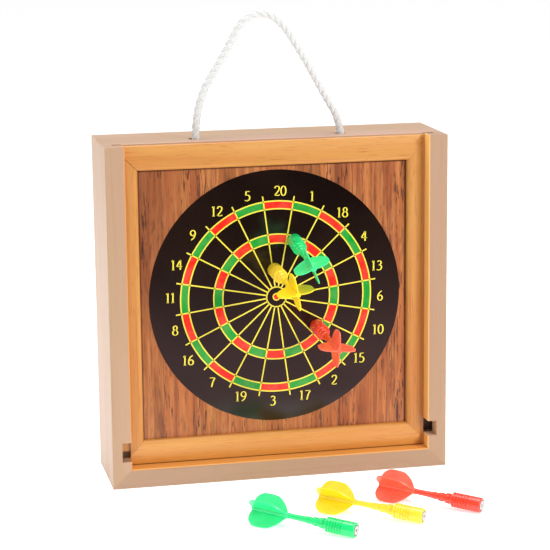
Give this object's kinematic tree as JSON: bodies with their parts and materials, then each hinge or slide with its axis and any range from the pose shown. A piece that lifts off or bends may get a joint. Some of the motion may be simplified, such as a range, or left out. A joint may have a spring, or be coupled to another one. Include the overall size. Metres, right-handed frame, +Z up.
{
  "type": "magnetic dartboard",
  "caption": "Magnetic dartboard: a wooden box with a rope handle whose framed target slides up as a lid, with magnetic darts on the target and in front of it.",
  "frame": {"origin": "the middle of the box's underside, on the surface that it stands on", "axes": "+Z up, +X to the right of a player who faces the target, +Y to the back; the target faces -Y"},
  "size_m": [0.3, 0.2665, 0.4076],
  "materials": {
    "box_wood": "pale pinkish-tan solid wood, thin satin varnish",
    "frame_wood": "golden orange wood, satin varnish",
    "back_board": "thin plain plywood",
    "steel_pins": "bright steel",
    "cotton_rope": "white twisted cotton, matt",
    "veneer": "reddish-brown open-pored veneer, satin",
    "steel": "thin zinc-plated sheet",
    "target_print": "black glossy sheet printed with red, green and yellow lines and yellow numerals",
    "dart_green": "bright green glossy plastic",
    "dart_yellow": "bright yellow glossy plastic",
    "dart_red": "bright orange-red glossy plastic",
    "flight_green": "thin green plastic, slightly translucent",
    "flight_yellow": "thin yellow plastic, slightly translucent",
    "flight_red": "thin red plastic, slightly translucent",
    "magnet_nickel": "nickel-plated disc magnet"
  },
  "bodies": {
    "box": {"left_wall": "box_wood", "right_wall": "box_wood", "bottom_wall": "box_wood", "top_wall": "box_wood", "back_panel": "back_board", "back_panel_pins": "steel_pins", "rope_handle": "cotton_rope", "rope_knot_left": "cotton_rope", "rope_knot_right": "cotton_rope"},
    "lid": {"lid_top_rail": "frame_wood", "lid_bottom_rail": "frame_wood", "lid_left_stile": "frame_wood", "lid_right_stile": "frame_wood", "veneered_panel": "veneer", "steel_sheet": "steel", "target_disc": "target_print"},
    "board_dart_green": {"board_dart_green_barrel": "dart_green", "board_dart_green_flight": "flight_green", "board_dart_green_magnet": "magnet_nickel"},
    "board_dart_yellow": {"board_dart_yellow_barrel": "dart_yellow", "board_dart_yellow_flight": "flight_yellow", "board_dart_yellow_magnet": "magnet_nickel"},
    "board_dart_red": {"board_dart_red_barrel": "dart_red", "board_dart_red_flight": "flight_red", "board_dart_red_magnet": "magnet_nickel"},
    "loose_dart_green": {"loose_dart_green_barrel": "dart_green", "loose_dart_green_flight": "flight_green", "loose_dart_green_magnet": "magnet_nickel"},
    "loose_dart_yellow": {"loose_dart_yellow_barrel": "dart_yellow", "loose_dart_yellow_flight": "flight_yellow", "loose_dart_yellow_magnet": "magnet_nickel"},
    "loose_dart_red": {"loose_dart_red_barrel": "dart_red", "loose_dart_red_flight": "flight_red", "loose_dart_red_magnet": "magnet_nickel"}
  },
  "joints": [
    {"name": "lid_slide", "type": "slide", "parent": "box", "child": "lid", "axis": [0, 0, 1], "range_m": [0, 0.285]},
    {"name": "board_dart_green_pull", "type": "slide", "parent": "lid", "child": "board_dart_green", "axis": [0, -1, 0], "range_m": [0, 0.1]},
    {"name": "board_dart_yellow_pull", "type": "slide", "parent": "lid", "child": "board_dart_yellow", "axis": [0, -1, 0], "range_m": [0, 0.1]},
    {"name": "board_dart_red_pull", "type": "slide", "parent": "lid", "child": "board_dart_red", "axis": [0, -1, 0], "range_m": [0, 0.1]},
    {"name": "loose_dart_green_lift", "type": "slide", "parent": "box", "child": "loose_dart_green", "axis": [0, 0, 1], "range_m": [0, 0.1]},
    {"name": "loose_dart_yellow_lift", "type": "slide", "parent": "box", "child": "loose_dart_yellow", "axis": [0, 0, 1], "range_m": [0, 0.1]},
    {"name": "loose_dart_red_lift", "type": "slide", "parent": "box", "child": "loose_dart_red", "axis": [0, 0, 1], "range_m": [0, 0.1]}
  ]
}
